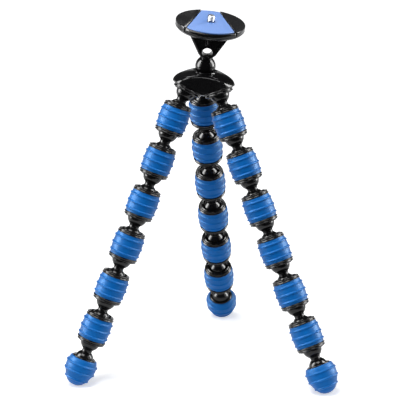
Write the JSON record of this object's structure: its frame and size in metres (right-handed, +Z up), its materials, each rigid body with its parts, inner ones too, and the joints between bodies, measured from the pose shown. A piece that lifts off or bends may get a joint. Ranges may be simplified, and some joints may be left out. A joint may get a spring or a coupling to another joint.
{
  "type": "camera tripod",
  "caption": "Small flexible camera tripod: ball-jointed legs in ribbed rubber sleeves, lobed hub, tilting round head with slide-out plate and screw.",
  "frame": {"origin": "centre of the box round the tripod, on the floor it stands on", "axes": "+Z up, -Y towards the front, where the quick-release plate slides out, +X to the right"},
  "size_m": [0.2404, 0.2188, 0.3226],
  "materials": {
    "black_plastic": "gloss moulded",
    "blue_rubber": "satin ribbed",
    "steel": "zinc plated",
    "grey_plastic": "low-friction moulded"
  },
  "bodies": {
    "hub": {"hub_body": "black_plastic", "hub_base_plate": "black_plastic", "hub_screws": "steel", "left_leg_stud": "black_plastic", "right_leg_stud": "black_plastic", "back_leg_stud": "black_plastic"},
    "seat": {"ball_seat": "grey_plastic"},
    "head": {"head_stem": "black_plastic", "tension_screw": "steel", "pressure_cup": "steel", "disc_spring": "steel", "plate_base": "black_plastic", "stem_screws": "steel"},
    "quick_release": {"quick_release_plate": "black_plastic", "plate_pad": "blue_rubber"},
    "camera_screw": {"camera_screw": "steel"},
    "plate_lock": {"plate_lock": "black_plastic"},
    "left_segment_1": {"left_leg_core_1": "black_plastic", "left_leg_sleeve_1": "blue_rubber"},
    "left_segment_2": {"left_leg_core_2": "black_plastic", "left_leg_sleeve_2": "blue_rubber"},
    "left_segment_3": {"left_leg_core_3": "black_plastic", "left_leg_sleeve_3": "blue_rubber"},
    "left_segment_4": {"left_leg_core_4": "black_plastic", "left_leg_sleeve_4": "blue_rubber"},
    "left_segment_5": {"left_leg_core_5": "black_plastic", "left_leg_sleeve_5": "blue_rubber"},
    "left_segment_6": {"left_leg_core_6": "black_plastic", "left_leg_sleeve_6": "blue_rubber"},
    "left_foot": {"left_foot_core": "black_plastic", "left_foot_cap": "blue_rubber"},
    "right_segment_1": {"right_leg_core_1": "black_plastic", "right_leg_sleeve_1": "blue_rubber"},
    "right_segment_2": {"right_leg_core_2": "black_plastic", "right_leg_sleeve_2": "blue_rubber"},
    "right_segment_3": {"right_leg_core_3": "black_plastic", "right_leg_sleeve_3": "blue_rubber"},
    "right_segment_4": {"right_leg_core_4": "black_plastic", "right_leg_sleeve_4": "blue_rubber"},
    "right_segment_5": {"right_leg_core_5": "black_plastic", "right_leg_sleeve_5": "blue_rubber"},
    "right_segment_6": {"right_leg_core_6": "black_plastic", "right_leg_sleeve_6": "blue_rubber"},
    "right_foot": {"right_foot_core": "black_plastic", "right_foot_cap": "blue_rubber"},
    "back_segment_1": {"back_leg_core_1": "black_plastic", "back_leg_sleeve_1": "blue_rubber"},
    "back_segment_2": {"back_leg_core_2": "black_plastic", "back_leg_sleeve_2": "blue_rubber"},
    "back_segment_3": {"back_leg_core_3": "black_plastic", "back_leg_sleeve_3": "blue_rubber"},
    "back_segment_4": {"back_leg_core_4": "black_plastic", "back_leg_sleeve_4": "blue_rubber"},
    "back_segment_5": {"back_leg_core_5": "black_plastic", "back_leg_sleeve_5": "blue_rubber"},
    "back_segment_6": {"back_leg_core_6": "black_plastic", "back_leg_sleeve_6": "blue_rubber"},
    "back_foot": {"back_foot_core": "black_plastic", "back_foot_cap": "blue_rubber"}
  },
  "joints": [
    {"name": "head_pan", "type": "hinge", "parent": "hub", "child": "seat", "pos_m": [0.0041, -0.02491, 0.27617], "axis": [0.0785, 0, 0.9969], "continuous": true},
    {"name": "head_tilt", "type": "hinge", "parent": "seat", "child": "head", "pos_m": [0.0041, -0.02491, 0.27617], "axis": [0.9752, 0.2075, -0.0768], "range_deg": [-18.44, 1.56]},
    {"name": "plate_slide", "type": "slide", "parent": "head", "child": "quick_release", "axis": [0, -0.9895, -0.1444], "range_m": [0, 0.06]},
    {"name": "camera_screw_spin", "type": "hinge", "parent": "quick_release", "child": "camera_screw", "pos_m": [0.00821, -0.03036, 0.31355], "axis": [0.108, -0.1435, 0.9837], "continuous": true},
    {"name": "plate_lock_slide", "type": "slide", "parent": "head", "child": "plate_lock", "axis": [0.108, -0.1435, 0.9837], "range_m": [0, 0.0016]},
    {"name": "left_hip", "type": "hinge", "parent": "hub", "child": "left_segment_1", "pos_m": [-0.02072, -0.0358, 0.24052], "axis": [-0.4802, 0.8771, 0], "range_deg": [-20, 35]},
    {"name": "left_joint_2", "type": "hinge", "parent": "left_segment_1", "child": "left_segment_2", "pos_m": [-0.03397, -0.04306, 0.20424], "axis": [0.8175, 0.4274, -0.386], "range_deg": [-35, 35]},
    {"name": "left_joint_3", "type": "hinge", "parent": "left_segment_2", "child": "left_segment_3", "pos_m": [-0.04741, -0.05008, 0.16799], "axis": [0.4462, -0.8949, 0], "range_deg": [-35, 35]},
    {"name": "left_joint_4", "type": "hinge", "parent": "left_segment_3", "child": "left_segment_4", "pos_m": [-0.06104, -0.05688, 0.13176], "axis": [-0.8321, -0.3951, 0.3892], "range_deg": [-35, 35]},
    {"name": "left_joint_5", "type": "hinge", "parent": "left_segment_4", "child": "left_segment_5", "pos_m": [-0.07485, -0.06344, 0.09556], "axis": [-0.4115, 0.9114, 0], "range_deg": [-35, 35]},
    {"name": "left_joint_6", "type": "hinge", "parent": "left_segment_5", "child": "left_segment_6", "pos_m": [-0.08885, -0.06976, 0.05938], "axis": [0.8454, 0.3623, -0.3924], "range_deg": [-35, 35]},
    {"name": "left_ankle", "type": "hinge", "parent": "left_segment_6", "child": "left_foot", "pos_m": [-0.10303, -0.07584, 0.02323], "axis": [0.3762, -0.9265, 0], "range_deg": [-35, 35]},
    {"name": "right_hip", "type": "hinge", "parent": "hub", "child": "right_segment_1", "pos_m": [0.0215, -0.03847, 0.2372], "axis": [-0.5045, -0.8634, 0], "range_deg": [-20, 35]},
    {"name": "right_joint_2", "type": "hinge", "parent": "right_segment_1", "child": "right_segment_2", "pos_m": [0.03453, -0.04608, 0.20091], "axis": [-0.7818, 0.481, -0.3968], "range_deg": [-35, 35]},
    {"name": "right_joint_3", "type": "hinge", "parent": "right_segment_2", "child": "right_segment_3", "pos_m": [0.04781, -0.05425, 0.16484], "axis": [0.5432, 0.8396, 0], "range_deg": [-35, 35]},
    {"name": "right_joint_4", "type": "hinge", "parent": "right_segment_3", "child": "right_segment_4", "pos_m": [0.06133, -0.06299, 0.12898], "axis": [0.7497, -0.5095, 0.4222], "range_deg": [-35, 35]},
    {"name": "right_joint_5", "type": "hinge", "parent": "right_segment_4", "child": "right_segment_5", "pos_m": [0.07505, -0.07232, 0.09336], "axis": [-0.5807, -0.8141, 0], "range_deg": [-35, 35]},
    {"name": "right_joint_6", "type": "hinge", "parent": "right_segment_5", "child": "right_segment_6", "pos_m": [0.08896, -0.08224, 0.05797], "axis": [-0.7161, 0.5357, -0.4474], "range_deg": [-35, 35]},
    {"name": "right_ankle", "type": "hinge", "parent": "right_segment_6", "child": "right_foot", "pos_m": [0.10304, -0.09278, 0.02282], "axis": [0.617, 0.7869, 0], "range_deg": [-35, 35]},
    {"name": "back_hip", "type": "hinge", "parent": "hub", "child": "back_segment_1", "pos_m": [0.00269, -0.00046, 0.23868], "axis": [0.9752, -0.2215, 0], "range_deg": [-20, 35]},
    {"name": "back_joint_2", "type": "hinge", "parent": "back_segment_1", "child": "back_segment_2", "pos_m": [0.00528, 0.01091, 0.20115], "axis": [-0.195, -0.9216, -0.3356], "range_deg": [-35, 35]},
    {"name": "back_joint_3", "type": "hinge", "parent": "back_segment_2", "child": "back_segment_3", "pos_m": [0.00801, 0.02382, 0.16413], "axis": [-0.9813, 0.1925, 0], "range_deg": [-35, 35]},
    {"name": "back_joint_4", "type": "hinge", "parent": "back_segment_3", "child": "back_segment_4", "pos_m": [0.01084, 0.03824, 0.12768], "axis": [0.1622, 0.8968, 0.4117], "range_deg": [-35, 35]},
    {"name": "back_joint_5", "type": "hinge", "parent": "back_segment_4", "child": "back_segment_5", "pos_m": [0.01372, 0.05416, 0.09186], "axis": [0.9866, -0.1633, 0], "range_deg": [-35, 35]},
    {"name": "back_joint_6", "type": "hinge", "parent": "back_segment_5", "child": "back_segment_6", "pos_m": [0.0166, 0.07155, 0.05674], "axis": [-0.13, -0.8648, -0.4849], "range_deg": [-35, 35]},
    {"name": "back_ankle", "type": "hinge", "parent": "back_segment_6", "child": "back_foot", "pos_m": [0.01943, 0.0904, 0.02237], "axis": [-0.991, 0.134, 0], "range_deg": [-35, 35]}
  ]
}
